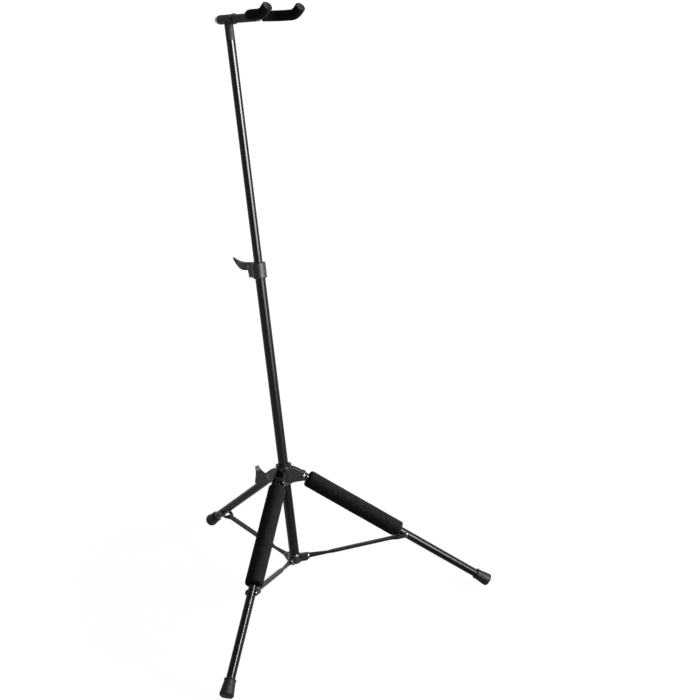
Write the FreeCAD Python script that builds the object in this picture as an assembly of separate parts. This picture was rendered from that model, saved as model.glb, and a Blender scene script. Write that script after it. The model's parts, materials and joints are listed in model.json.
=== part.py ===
import FreeCAD, Part
import math
import os

# A hanging guitar stand: a leaning telescopic mast on three folding legs, with
# a swivelling foam covered yoke that takes the neck of the instrument.
# Sizes are in millimetres. A piece is drawn in a local frame where X runs along
# it, Y across it and Z to its upper side, and is then set in the mast's frame.

V = FreeCAD.Vector
ORIGIN = V(0, 0, 0)
ALONG = V(1, 0, 0)
ACROSS = V(0, 1, 0)
UP = V(0, 0, 1)

# Fits
FREE_GAP = 0.35
RUN_FIT = 0.05
SET_FIT = 0.02

# Broken edges
EDGE = 1.0
CLAMP_EDGE = 1.5
BUSH_EDGE = 0.8
FOAM_EDGE = 2.0
STEM_EDGE = 0.6
NUT_CHAMFER = 1.2
LEVER_TIP = 1.0

# Tubes
LOWER_TUBE_OD = 20.0
UPPER_TUBE_OD = 17.0
LEG_TUBE_OD = 16.5
TUBE_WALL = 1.2

# Folding linkage, with the strut collar's pins at height 0 on the mast
FRONT_SPLAY = 57.0
HUB_PIN_RADIUS = 36.0
HUB_PIN_HEIGHT = 167.5
COLLAR_PIN_RADIUS = 26.0
FRONT_LEG_LENGTH = 450.0
FRONT_PIN_REACH = 246.0
FRONT_STRUT_LENGTH = 204.5
REAR_LEG_LENGTH = 305.5
REAR_PIN_REACH = 239.0
REAR_STRUT_LENGTH = 227.6
SOLE_HEIGHT = 6.0

# Mast
LOWER_TUBE_DROP = 9.0
LOWER_TUBE_TOP = 580.0
UPPER_TUBE_OVERLAP = 110.0
UPPER_TUBE_LENGTH = 549.0
GUIDE_LENGTH = 24.0
GUIDE_FLANGE = 4.0
PLUG_LENGTH = 16.0
PLUG_FLANGE = 3.0
CROSS_PIN_RADIUS = 2.0

# Strut collar
COLLAR_WALL = 3.0
COLLAR_RISE = 8.0
COLLAR_FALL = 10.0
COLLAR_EDGE = 1.0
COLLAR_EAR = 2.6
COLLAR_EAR_RADIUS = 6.0
COLLAR_RIVET_RADIUS = 2.6
COLLAR_PIN_RISE = 1.0

# Height clamp
CLAMP_RADIUS = 13.8
CLAMP_GRIP = 10.5
CLAMP_RISE = 20.5
CLAMP_PIN_OUT = 21.5
CLAMP_PIN_RISE = 13.0
CLAMP_PIN_RADIUS = 2.0
CLAMP_EAR = 3.6
CLAMP_EAR_RADIUS = 5.2
CLAMP_LEVER_WIDTH = 10.0
CLAMP_LEVER_TIP_WIDTH = 3.6
CLAMP_LEVER_LENGTH = 62.5
CLAMP_LEVER_LIFT = 17.0
CLAMP_CAM_RADIUS = 7.6
CLAMP_SHOE_WIDTH = 8.0
CLAMP_SHOE_HEIGHT = 12.0

# Hub
HUB_WALL = 3.2
HUB_BUSH_WALL = 1.7
HUB_RISE = 23.5
HUB_FALL = 12.0
HUB_FLANGE_HEIGHT = 5.0
HUB_FLANGE_RADIUS = 15.6
HUB_EAR = 3.6
HUB_EAR_RADIUS = 8.5
HUB_EAR_RISE = 21.0
HUB_EAR_FALL = 9.0
HUB_RIVET_RADIUS = 3.2
HUB_SHOE_WIDTH = 10.0
HUB_SHOE_HEIGHT = 14.0

# Hub lever, drawn along the rear leg
HUB_LEVER_CHEEK = 2.0
HUB_LEVER_CAM = 18.0
HUB_LEVER_LENGTH = 61.0
HUB_LEVER_LIFT = 38.0
HUB_LEVER_WEB = 2.8
HUB_LEVER_SHOULDER = 1.5
HUB_LEVER_TAIL_WIDTH = 6.5

# Legs, feet and struts
LEG_HEEL = 9.0
FOOT_LENGTH = 32.0
FOOT_FLOOR = 10.0
FOOT_LIP_RADIUS = 11.2
FOOT_LIP = 3.0
FOOT_WAIST_RADIUS = 10.2
FOOT_END_RADIUS = 13.0
FOOT_ROUND = 4.0
LEG_FOAM_RADIUS = 17.5
LEG_FOAM_START = 11.5
LEG_FOAM_STOP = 17.0
STRUT_WIDTH = 8.4
STRUT_DEPTH = 10.0
STRUT_WEB_TOP = 1.0
STRUT_SHEET = 1.6
STRUT_ARM = 2.0
STRUT_FORK = 20.5
STRUT_TONGUE = 3.0
STRUT_TONGUE_LENGTH = 41.0
STRUT_EASE = 14.0
STRUT_RIVET_RADIUS = 2.6
RIVET_HEAD = 2.2
RIVET_HEAD_SPREAD = 2.2

# Head and yoke
STEM_RADIUS = 8.5
STEM_LENGTH = 29.5
SPIGOT_LENGTH = 25.0
BARREL_RADIUS = 8.8
BARREL_FRONT = 18.0
BARREL_REAR = 27.0
BARREL_DIP = 6.0
SWIVEL_RADIUS = 4.5
SWIVEL_WASHER = 2.4
SWIVEL_WASHER_RADIUS = 10.0
SWIVEL_THREAD = 20.0
BOLT_DOME = 1.6
NUT_FLATS = 13.0
NUT_HEIGHT = 7.0
NUT_WASHER = 1.5
NUT_WASHER_RADIUS = 8.0
ARM_RADIUS = 8.0
ARM_FULL_LENGTH = 38.0
ARM_SLOPE = 27.0
FORK_ROD_RADIUS = 4.5
FORK_HALF_WIDTH = 36.3
FORK_BASE = 96.0
FORK_RISE = 1.6
FORK_STRAIGHT = 14.2
FORK_TURN_RADIUS = 34.0
FORK_TURN = 40.0
FORK_TIP = 8.0
YOKE_ROLL = 2.0
FORK_FOAM_RADIUS = 9.8
FORK_FOAM_END = 4.0
FORK_FOAM_CLEAR = 9.0


def frame(origin, x_axis, z_axis):
    """Placement whose local X and Z run along the two directions given."""
    return FreeCAD.Placement(origin, FreeCAD.Rotation(x_axis, z_axis.cross(x_axis), z_axis, "XYZ"))


def put(shape, placement):
    """Copy of a shape, moved by a placement."""
    return shape.transformed(placement.toMatrix(), True)


def closed_wire(start, moves, point):
    """Outline from 2-D moves: an end point for a line, or (via, end) for an arc."""
    edges = []
    here = start
    for move in moves + (start,):
        if isinstance(move[0], tuple):
            via, end = move
            edges.append(Part.Arc(point(here), point(via), point(end)).toShape())
        else:
            end = move
            if math.dist(here, end) > 1e-6:
                edges.append(Part.LineSegment(point(here), point(end)).toShape())
        here = end
    return Part.Wire(edges)


def side_point(xz):
    return V(xz[0], 0, xz[1])


def plan_point(xy):
    return V(xy[0], xy[1], 0)


def turned(start, *moves):
    """Solid of revolution about local X, from (along, radius) points."""
    return Part.Face(closed_wire(start, moves, side_point)).revolve(ORIGIN, ALONG, 360)


def plate(y_from, y_to, start, *moves):
    """Side outline in local XZ, given thickness from y_from to y_to."""
    face = Part.Face(closed_wire(start, moves, side_point))
    face.translate(ACROSS * y_from)
    return face.extrude(ACROSS * (y_to - y_from))


def block(x_from, x_to, half_width, z_from, z_to):
    """Box centred on the local XZ plane."""
    corner = V(x_from, -half_width, z_from)
    return Part.makeBox(x_to - x_from, 2 * half_width, z_to - z_from, corner)


def rod(radius, x_from, x_to):
    """Round bar along local X."""
    return Part.makeCylinder(radius, x_to - x_from, V(x_from, 0, 0), ALONG)


def cross_rod(radius, half_length, x=0.0, z=0.0):
    """Round bar across local Y."""
    return Part.makeCylinder(radius, 2 * half_length, V(x, -half_length, z), ACROSS)


def pipe(outer, wall, x_from, x_to):
    """Tube along local X."""
    return rod(outer / 2, x_from, x_to).cut(rod(outer / 2 - wall, x_from, x_to))


def cap(x_rim, radius, height):
    """Arc of a spherical cap on local X: a point half way and the apex."""
    ball = (radius**2 + height**2) / (2 * height)
    half = math.asin(radius / abs(ball)) / 2
    centre = x_rim + height - ball
    return (centre + ball * math.cos(half), abs(ball) * math.sin(half)), (x_rim + height, 0)


def rivet_end(radius, y_from, y_face):
    """Half of a rivet along local Y: a shank with a domed head outside y_face."""
    spread = radius + RIVET_HEAD_SPREAD
    shank = [(y_from, 0), (y_from, radius), (y_face, radius), (y_face, spread)]
    half = turned(*shank, cap(y_face, spread, RIVET_HEAD))
    return put(half, frame(ORIGIN, ACROSS, UP))


def mirrored(shape):
    """Copy of a shape reflected across the local XZ plane."""
    return shape.mirror(ORIGIN, ACROSS)


def rivet(radius, half_grip):
    """Whole rivet across local Y with a domed head at each end."""
    end = rivet_end(radius, 0, half_grip)
    return end.fuse(mirrored(end)).removeSplitter()


def ogee(x_from, w_from, x_to, w_to):
    """Two tangent arcs that ease one half width into another."""
    run = (x_to - x_from) / 2
    rise = (w_to - w_from) / 2
    quarter = math.atan2(rise, run)
    radius = (run * run + rise * rise) / (2 * rise)
    via_run = radius * math.sin(quarter)
    via_rise = radius * (1 - math.cos(quarter))
    middle = (x_from + run, w_from + rise)
    first = (x_from + via_run, w_from + via_rise)
    second = (x_to - via_run, w_to - via_rise)
    return [(first, middle), (second, (x_to, w_to))]


def waisted(stations, z_from, z_to):
    """Prism whose plan has the half widths given at stations along local X."""
    upper = []
    for (x_from, w_from), (x_to, w_to) in zip(stations, stations[1:]):
        if w_from == w_to:
            upper.append((x_to, w_to))
        else:
            upper.extend(ogee(x_from, w_from, x_to, w_to))
    (x_start, w_start), (x_end, w_end) = stations[0], stations[-1]
    half = closed_wire((x_start, 0.0), ((x_start, w_start), *upper, (x_end, 0.0)), plan_point)
    face = Part.Face(half)
    face.translate(UP * z_from)
    side = face.extrude(UP * (z_to - z_from))
    return side.fuse(mirrored(side)).removeSplitter()


# The mast's line: local X up the mast, local Y to the right, local Z to the rear
MAST = frame(ORIGIN, UP, ACROSS)


def radial(bearing):
    """Direction away from the mast, turned from straight ahead to the right."""
    turn = math.radians(bearing)
    return V(math.sin(turn), -math.cos(turn), 0)


def leg_swing(pin_reach, strut):
    """Angle between the mast and a leg whose strut reaches the strut collar."""
    step = HUB_PIN_RADIUS - COLLAR_PIN_RADIUS
    span = math.hypot(step, HUB_PIN_HEIGHT)
    corner = math.acos((span**2 + pin_reach**2 - strut**2) / (2 * span * pin_reach))
    return corner - math.atan2(step, HUB_PIN_HEIGHT)


class Limb:
    """One leg with its strut: where both stand on the mast."""

    def __init__(self, bearing, length, pin_reach, strut_length):
        self.length = length
        self.pin_reach = pin_reach
        self.strut_length = strut_length
        self.out = radial(bearing)
        self.swing = leg_swing(pin_reach, strut_length)
        self.hub_pin = self.out * HUB_PIN_RADIUS + UP * HUB_PIN_HEIGHT
        self.collar_pin = self.out * COLLAR_PIN_RADIUS
        down = self.out * math.sin(self.swing) - UP * math.cos(self.swing)
        top = self.out * math.cos(self.swing) + UP * math.sin(self.swing)
        self.leg = frame(self.hub_pin, down, top)
        self.leg_pin = self.hub_pin + down * pin_reach
        self.end = self.hub_pin + down * length
        inward = (self.collar_pin - self.leg_pin).normalize()
        self.strut = frame(self.leg_pin, inward, UP.cross(self.out).cross(inward))
        self.hub_ears = frame(UP * HUB_PIN_HEIGHT, self.out, UP)
        self.collar_ears = frame(ORIGIN, self.out, UP)


LIMBS = {
    "front_left": Limb(-FRONT_SPLAY, FRONT_LEG_LENGTH, FRONT_PIN_REACH, FRONT_STRUT_LENGTH),
    "front_right": Limb(FRONT_SPLAY, FRONT_LEG_LENGTH, FRONT_PIN_REACH, FRONT_STRUT_LENGTH),
    "rear": Limb(180.0, REAR_LEG_LENGTH, REAR_PIN_REACH, REAR_STRUT_LENGTH),
}
REAR = LIMBS["rear"]

# Sizes that follow from the ones above
LOWER_BORE = LOWER_TUBE_OD / 2 - TUBE_WALL
UPPER_BORE = UPPER_TUBE_OD / 2 - TUBE_WALL
LEG_RADIUS = LEG_TUBE_OD / 2
UPPER_TUBE_BOTTOM = LOWER_TUBE_TOP - UPPER_TUBE_OVERLAP
UPPER_TUBE_TOP = UPPER_TUBE_BOTTOM + UPPER_TUBE_LENGTH
HEAD_HEIGHT = UPPER_TUBE_TOP + STEM_LENGTH + BARREL_RADIUS
EAR_INSIDE = LEG_RADIUS + FREE_GAP
LEVER_HALF_WIDTH = LEG_RADIUS + FREE_GAP + HUB_LEVER_CHEEK
REAR_EAR_INSIDE = LEVER_HALF_WIDTH + FREE_GAP
COLLAR_EAR_INSIDE = STRUT_TONGUE / 2 + FREE_GAP
STRUT_ARM_INSIDE = LEG_RADIUS + FREE_GAP
STRUT_ARM_OUTSIDE = STRUT_ARM_INSIDE + STRUT_ARM


def lower_mast_tube():
    tube = pipe(LOWER_TUBE_OD, TUBE_WALL, -LOWER_TUBE_DROP, LOWER_TUBE_TOP)
    tube = tube.cut(cross_rod(CROSS_PIN_RADIUS + SET_FIT, LOWER_TUBE_OD, COLLAR_PIN_RISE))
    return put(tube, MAST)


def mast_bottom_plug():
    foot = -LOWER_TUBE_DROP
    inside = LOWER_BORE - SET_FIT
    plug = turned(
        (foot - PLUG_FLANGE, 0),
        (foot - PLUG_FLANGE, inside),
        (foot - SET_FIT, LOWER_TUBE_OD / 2),
        (foot - SET_FIT, inside),
        (foot + PLUG_LENGTH, inside),
        (foot + PLUG_LENGTH, inside - TUBE_WALL),
        (foot, inside - TUBE_WALL),
        (foot, 0),
    )
    return put(plug.cut(cross_rod(CROSS_PIN_RADIUS + SET_FIT, LOWER_TUBE_OD, COLLAR_PIN_RISE)), MAST)


def strut_collar():
    bore = LOWER_TUBE_OD / 2 + SET_FIT
    outside = bore + COLLAR_WALL
    body = put(
        turned(
            (-COLLAR_FALL, bore),
            (-COLLAR_FALL, outside - COLLAR_EDGE),
            (COLLAR_EDGE - COLLAR_FALL, outside),
            (COLLAR_RISE - COLLAR_WALL, outside),
            (COLLAR_RISE, bore + COLLAR_EDGE),
            (COLLAR_RISE, bore),
        ),
        MAST,
    )
    end = COLLAR_PIN_RADIUS
    rim = COLLAR_EAR_RADIUS
    root = LOWER_TUBE_OD / 2 + COLLAR_WALL / 2
    low = COLLAR_EDGE - COLLAR_FALL
    ear = plate(
        COLLAR_EAR_INSIDE,
        COLLAR_EAR_INSIDE + COLLAR_EAR,
        (root, low),
        (end - rim / 2, low),
        (end + rim * math.cos(math.pi / 6), -rim / 2),
        ((end + rim * math.cos(math.pi / 6), rim / 2), (end, rim)),
        (root, rim),
    )
    ear = ear.cut(cross_rod(COLLAR_RIVET_RADIUS + SET_FIT, LOWER_TUBE_OD, end))
    pair = [ear, mirrored(ear)]
    ears = [put(one, limb.collar_ears) for limb in LIMBS.values() for one in pair]
    hole = put(cross_rod(CROSS_PIN_RADIUS + SET_FIT, 2 * outside, COLLAR_PIN_RISE), MAST)
    return body.multiFuse(ears).cut(hole).removeSplitter()


def strut_collar_rivets():
    stub = rivet_end(COLLAR_RIVET_RADIUS, COLLAR_EAR_INSIDE, COLLAR_EAR_INSIDE + COLLAR_EAR)
    stub.translate(ALONG * COLLAR_PIN_RADIUS)
    pair = [stub, mirrored(stub)]
    return Part.makeCompound([put(one, limb.collar_ears) for limb in LIMBS.values() for one in pair])


def collar_cross_pin():
    half = LOWER_TUBE_OD / 2 + COLLAR_WALL
    return put(cross_rod(CROSS_PIN_RADIUS, half, COLLAR_PIN_RISE), MAST)


# The clamp's line: as the mast's, from the top end of the lower tube
CLAMP = frame(UP * LOWER_TUBE_TOP, ACROSS, UP)
CLAMP_SHOE_OUT = CLAMP_PIN_OUT - CLAMP_CAM_RADIUS - FREE_GAP
CLAMP_EAR_INSIDE = CLAMP_LEVER_WIDTH / 2 + FREE_GAP
CLAMP_EAR_OUTSIDE = CLAMP_EAR_INSIDE + CLAMP_EAR


def clamp_collar():
    grip = LOWER_TUBE_OD / 2 + SET_FIT
    slide = UPPER_TUBE_OD / 2 + FREE_GAP
    edge = CLAMP_EDGE
    body = put(
        turned(
            (-CLAMP_GRIP, grip),
            (-CLAMP_GRIP, CLAMP_RADIUS - edge),
            (edge - CLAMP_GRIP, CLAMP_RADIUS),
            (CLAMP_RISE - edge, CLAMP_RADIUS),
            (CLAMP_RISE, CLAMP_RADIUS - edge),
            (CLAMP_RISE, slide),
            (0, slide),
            (0, grip),
        ),
        frame(ORIGIN, UP, ACROSS),
    )
    body = put(body, frame(UP * LOWER_TUBE_TOP, ALONG, UP))
    out = CLAMP_PIN_OUT
    high = CLAMP_PIN_RISE
    rim = CLAMP_EAR_RADIUS
    root = slide + FREE_GAP
    low = edge - CLAMP_GRIP
    heel = out + 0.5 * rim
    ear = plate(
        CLAMP_EAR_INSIDE,
        CLAMP_EAR_OUTSIDE,
        (root, low),
        (CLAMP_RADIUS, low),
        ((0.5 * (CLAMP_RADIUS + heel), low + 0.4 * rim), (heel, low)),
        (out + rim, high),
        ((out + 0.7 * rim, high + 0.7 * rim), (out, high + rim)),
        (CLAMP_RADIUS, CLAMP_RISE - edge),
        (root, CLAMP_RISE - edge),
    )
    pin_hole = cross_rod(CLAMP_PIN_RADIUS + SET_FIT, 2 * CLAMP_RADIUS, out, high)
    ears = [put(one.cut(pin_hole), CLAMP) for one in (ear, mirrored(ear))]
    window = block(
        0,
        out - rim,
        CLAMP_SHOE_WIDTH / 2 + SET_FIT,
        high - CLAMP_SHOE_HEIGHT / 2 - SET_FIT,
        high + CLAMP_SHOE_HEIGHT / 2 + SET_FIT,
    )
    grip_tool = put(rod(grip, -CLAMP_GRIP, 0), frame(UP * LOWER_TUBE_TOP, UP, ACROSS))
    return body.multiFuse(ears).cut(put(window, CLAMP)).cut(grip_tool).removeSplitter()


def clamp_shoe():
    low = CLAMP_PIN_RISE - CLAMP_SHOE_HEIGHT / 2
    pad = block(0, CLAMP_SHOE_OUT, CLAMP_SHOE_WIDTH / 2, low, low + CLAMP_SHOE_HEIGHT)
    pad = put(pad, CLAMP)
    face = UPPER_TUBE_OD / 2 + FREE_GAP
    return pad.cut(put(rod(face, 0, HEAD_HEIGHT), MAST))


def clamp_lever_pin():
    pin = rivet(CLAMP_PIN_RADIUS, CLAMP_EAR_OUTSIDE)
    pin.translate(V(CLAMP_PIN_OUT, 0, CLAMP_PIN_RISE))
    return put(pin, CLAMP)


def clamp_lever():
    cam = CLAMP_CAM_RADIUS
    far = CLAMP_LEVER_LENGTH
    lift = CLAMP_LEVER_LIFT
    half = CLAMP_LEVER_WIDTH / 2
    body = plate(
        -half,
        half,
        (0, -cam),
        (0.3 * far, -cam),
        ((0.74 * far, -0.06 * lift), (far, lift - LEVER_TIP)),
        ((far, lift), (far - LEVER_TIP, lift)),
        ((0.68 * far, 0.58 * lift), (0.3 * far, cam)),
        (0, cam),
        ((-cam, 0), (0, -cam)),
    )
    tip = CLAMP_LEVER_TIP_WIDTH / 2
    taper = waisted([(-2 * cam, half), (0.3 * far, half), (far, tip)], -2 * cam, 2 * lift)
    body = body.common(taper).cut(cross_rod(CLAMP_PIN_RADIUS + RUN_FIT, 2 * half))
    pivot = FreeCAD.Placement(V(CLAMP_PIN_OUT, 0, CLAMP_PIN_RISE), FreeCAD.Rotation())
    return put(body, CLAMP.multiply(pivot))


def upper_mast_tube():
    tube = pipe(UPPER_TUBE_OD, TUBE_WALL, UPPER_TUBE_BOTTOM, UPPER_TUBE_TOP)
    pin = cross_rod(CROSS_PIN_RADIUS + SET_FIT, UPPER_TUBE_OD, UPPER_TUBE_TOP - SPIGOT_LENGTH / 2)
    return put(tube.cut(pin), MAST)


def upper_tube_guide():
    end = UPPER_TUBE_BOTTOM
    inside = UPPER_BORE - SET_FIT
    flange = LOWER_BORE - RUN_FIT
    return put(
        turned(
            (end - GUIDE_FLANGE, 0),
            (end - GUIDE_FLANGE, flange),
            (end - SET_FIT, flange),
            (end - SET_FIT, inside),
            (end + GUIDE_LENGTH, inside),
            (end + GUIDE_LENGTH, inside - TUBE_WALL),
            (end, inside - TUBE_WALL),
            (end, 0),
        ),
        MAST,
    )


# The head's frame: X forward along the barrel, Y to the right, Z up
DIP = math.radians(BARREL_DIP)
HEAD = frame(
    UP * HEAD_HEIGHT,
    V(0, -math.cos(DIP), -math.sin(DIP)),
    V(0, -math.sin(DIP), math.cos(DIP)),
)


def head_tee():
    spigot = UPPER_BORE - SET_FIT
    top = UPPER_TUBE_TOP
    stem = turned(
        (top - SPIGOT_LENGTH, 0),
        (top - SPIGOT_LENGTH, spigot - EDGE),
        (top - SPIGOT_LENGTH + EDGE, spigot),
        (top + SET_FIT, spigot),
        (top + SET_FIT, STEM_RADIUS - STEM_EDGE),
        (top + STEM_EDGE + SET_FIT, STEM_RADIUS),
        (HEAD_HEIGHT, STEM_RADIUS),
        (HEAD_HEIGHT, 0),
    )
    barrel = turned(
        (-BARREL_REAR, 0),
        (-BARREL_REAR, BARREL_RADIUS - EDGE),
        (EDGE - BARREL_REAR, BARREL_RADIUS),
        (BARREL_FRONT - EDGE, BARREL_RADIUS),
        (BARREL_FRONT, BARREL_RADIUS - EDGE),
        (BARREL_FRONT, 0),
    )
    bore = rod(SWIVEL_RADIUS + RUN_FIT, -2 * BARREL_REAR, 2 * BARREL_FRONT)
    pin = cross_rod(CROSS_PIN_RADIUS + SET_FIT, UPPER_TUBE_OD, top - SPIGOT_LENGTH / 2)
    casting = put(stem.cut(pin), MAST).fuse(put(barrel, HEAD))
    return casting.cut(put(bore, HEAD)).removeSplitter()


def head_cross_pin():
    height = UPPER_TUBE_TOP - SPIGOT_LENGTH / 2
    return put(cross_rod(CROSS_PIN_RADIUS, UPPER_TUBE_OD / 2 - SET_FIT, height), MAST)


WASHER_BACK = BARREL_FRONT + RUN_FIT
ARM_BACK = WASHER_BACK + SWIVEL_WASHER + SET_FIT
NUT_FRONT = -BARREL_REAR - RUN_FIT - NUT_WASHER - SET_FIT

# The yoke's frame: the head's, turned a little about the swivel
YOKE = HEAD.multiply(FreeCAD.Placement(ORIGIN, FreeCAD.Rotation(ALONG, -YOKE_ROLL)))


def swivel_bolt():
    rear = NUT_FRONT - NUT_HEIGHT
    front = ARM_BACK + SWIVEL_THREAD
    profile = [(front, 0), (front, SWIVEL_RADIUS), (rear, SWIVEL_RADIUS)]
    return put(turned(*profile, cap(rear, SWIVEL_RADIUS, -BOLT_DOME)), HEAD)


def ring(outer, inner, x_from, x_to):
    """Flat ring about local X with lightly broken edges."""
    edge = 0.12 * (x_to - x_from)
    return turned(
        (x_from, inner),
        (x_from, outer - edge),
        (x_from + edge, outer),
        (x_to - edge, outer),
        (x_to, outer - edge),
        (x_to, inner),
    )


def swivel_washer():
    front = WASHER_BACK + SWIVEL_WASHER
    return put(ring(SWIVEL_WASHER_RADIUS, SWIVEL_RADIUS + SET_FIT, WASHER_BACK, front), HEAD)


def swivel_nut():
    corner = NUT_FLATS / math.sqrt(3)
    turns = [math.radians(60 * step + 30) for step in range(7)]
    wire = Part.makePolygon([V(0, corner * math.cos(a), corner * math.sin(a)) for a in turns])
    rear = NUT_FRONT - NUT_HEIGHT
    prism = Part.Face(wire).extrude(ALONG * NUT_HEIGHT)
    prism.translate(ALONG * rear)
    crown = turned(
        (rear, 0),
        (rear, NUT_FLATS / 2),
        (rear + NUT_CHAMFER, corner),
        (NUT_FRONT, corner),
        (NUT_FRONT, 0),
    )
    nut = prism.common(crown).cut(rod(SWIVEL_RADIUS + SET_FIT, rear - NUT_HEIGHT, 0))
    return put(nut, HEAD)


def nut_washer():
    rear = -BARREL_REAR - RUN_FIT
    return put(ring(NUT_WASHER_RADIUS, SWIVEL_RADIUS + SET_FIT, rear - NUT_WASHER, rear), HEAD)


def yoke_arm():
    shelf = FORK_RISE - FORK_ROD_RADIUS - SET_FIT
    full = ARM_BACK + ARM_FULL_LENGTH
    bar = rod(ARM_RADIUS, ARM_BACK, FORK_BASE)
    keep = plate(
        -ARM_RADIUS,
        ARM_RADIUS,
        (ARM_BACK, -ARM_RADIUS),
        (FORK_BASE, -ARM_RADIUS),
        (FORK_BASE, shelf),
        (full + ARM_SLOPE, shelf),
        (full, ARM_RADIUS),
        (ARM_BACK, ARM_RADIUS),
    )
    socket = rod(SWIVEL_RADIUS + SET_FIT, 0, ARM_BACK + SWIVEL_THREAD)
    return put(bar.common(keep).cut(socket), YOKE)


FORK_CENTRE = FORK_BASE + FORK_HALF_WIDTH


def bend_point(turn):
    """Point of the yoke's half round bend, turned from its base."""
    side = FORK_HALF_WIDTH
    return V(FORK_CENTRE - side * math.cos(turn), side * math.sin(turn), FORK_RISE)


def prong_line(turn_from, tip):
    """Centre line of the right prong, from a turn in the bend to its tip."""
    quarter = math.pi / 2
    lift = math.radians(FORK_TURN)
    elbow = V(FORK_CENTRE + FORK_STRAIGHT, FORK_HALF_WIDTH, FORK_RISE)
    half = elbow + V(math.sin(lift / 2), 0, 1 - math.cos(lift / 2)) * FORK_TURN_RADIUS
    rise = elbow + V(math.sin(lift), 0, 1 - math.cos(lift)) * FORK_TURN_RADIUS
    end = rise + V(math.cos(lift), 0, math.sin(lift)) * tip
    middle = bend_point((turn_from + quarter) / 2)
    return [
        Part.Arc(bend_point(turn_from), middle, bend_point(quarter)).toShape(),
        Part.LineSegment(bend_point(quarter), elbow).toShape(),
        Part.Arc(elbow, half, rise).toShape(),
        Part.LineSegment(rise, end).toShape(),
    ]


def swept(radius, edges, start, heading):
    """Round bar swept along tangent edges."""
    section = Part.Wire([Part.Circle(start, heading, radius).toShape()])
    return Part.Wire(edges).makePipeShell([section], True, False)


def prong(radius, turn_from, tip):
    heading = V(math.sin(turn_from), math.cos(turn_from), 0)
    return swept(radius, prong_line(turn_from, tip), bend_point(turn_from), heading)


def fork_bar(radius):
    half = prong(radius, 0, FORK_TIP - FORK_FOAM_END)
    return half.fuse(mirrored(half)).removeSplitter()


def yoke_fork():
    return put(fork_bar(FORK_ROD_RADIUS), YOKE)


def yoke_foam():
    turn = math.asin(FORK_FOAM_CLEAR / FORK_HALF_WIDTH)
    return prong(FORK_FOAM_RADIUS, turn, FORK_TIP).cut(fork_bar(FORK_ROD_RADIUS + SET_FIT))


HUB_SLIDE = LOWER_TUBE_OD / 2 + FREE_GAP
HUB_BORE = HUB_SLIDE + HUB_BUSH_WALL
HUB_OUTSIDE = HUB_BORE + SET_FIT + HUB_WALL
HUB_SHOE_OUT = HUB_PIN_RADIUS - HUB_LEVER_CAM - FREE_GAP
HUB_LINE = frame(UP * HUB_PIN_HEIGHT, ALONG, UP)


def hub_window():
    return block(
        0,
        HUB_PIN_RADIUS,
        HUB_SHOE_WIDTH / 2 + SET_FIT,
        -HUB_SHOE_HEIGHT / 2 - SET_FIT,
        HUB_SHOE_HEIGHT / 2 + SET_FIT,
    )


def hub_body():
    bore = HUB_BORE + SET_FIT
    body = turned(
        (-HUB_FALL, bore),
        (-HUB_FALL, HUB_OUTSIDE - EDGE),
        (EDGE - HUB_FALL, HUB_OUTSIDE),
        (HUB_RISE, HUB_OUTSIDE),
        (HUB_RISE, bore),
    )
    body = put(put(body, MAST), HUB_LINE)
    end = HUB_PIN_RADIUS
    rim = HUB_EAR_RADIUS
    root = HUB_BORE / 2
    pieces = []
    for limb in LIMBS.values():
        inside = REAR_EAR_INSIDE if limb is REAR else EAR_INSIDE
        ear = plate(
            inside,
            inside + HUB_EAR,
            (root, -HUB_EAR_FALL),
            (HUB_OUTSIDE, -HUB_EAR_FALL),
            (end, -rim),
            ((end + rim, 0), (end, rim)),
            ((0.5 * (end + HUB_OUTSIDE), 0.54 * (rim + HUB_EAR_RISE)), (HUB_OUTSIDE, HUB_EAR_RISE)),
            (root, HUB_EAR_RISE),
        )
        ear = ear.cut(cross_rod(HUB_RIVET_RADIUS + SET_FIT, 2 * inside, end))
        pieces += [put(ear, limb.hub_ears), put(mirrored(ear), limb.hub_ears)]
    bore_tool = put(put(rod(bore, -2 * HUB_FALL, 2 * HUB_RISE), MAST), HUB_LINE)
    window = put(hub_window(), REAR.hub_ears)
    return body.multiFuse(pieces).cut(bore_tool).cut(window).removeSplitter()


def hub_bush():
    low = HUB_RISE + SET_FIT
    edge = BUSH_EDGE
    liner = turned(
        (-HUB_FALL, HUB_SLIDE),
        (-HUB_FALL, HUB_BORE),
        (low, HUB_BORE),
        (low, HUB_FLANGE_RADIUS - edge),
        (low + edge, HUB_FLANGE_RADIUS),
        (low + HUB_FLANGE_HEIGHT - edge, HUB_FLANGE_RADIUS),
        (low + HUB_FLANGE_HEIGHT, HUB_FLANGE_RADIUS - edge),
        (low + HUB_FLANGE_HEIGHT, HUB_SLIDE),
    )
    return put(put(liner, MAST), HUB_LINE).cut(put(hub_window(), REAR.hub_ears))


def hub_shoe():
    pad = block(0, HUB_SHOE_OUT, HUB_SHOE_WIDTH / 2, -HUB_SHOE_HEIGHT / 2, HUB_SHOE_HEIGHT / 2)
    tube = put(rod(HUB_SLIDE, 0, 2 * HUB_PIN_HEIGHT), MAST)
    return put(pad, REAR.hub_ears).cut(tube)


def leg_hinge_rivets():
    rivets = []
    for limb in LIMBS.values():
        inside = REAR_EAR_INSIDE if limb is REAR else EAR_INSIDE
        one = rivet(HUB_RIVET_RADIUS, inside + HUB_EAR)
        rivets.append(put(one, limb.leg))
    return Part.makeCompound(rivets)


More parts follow.
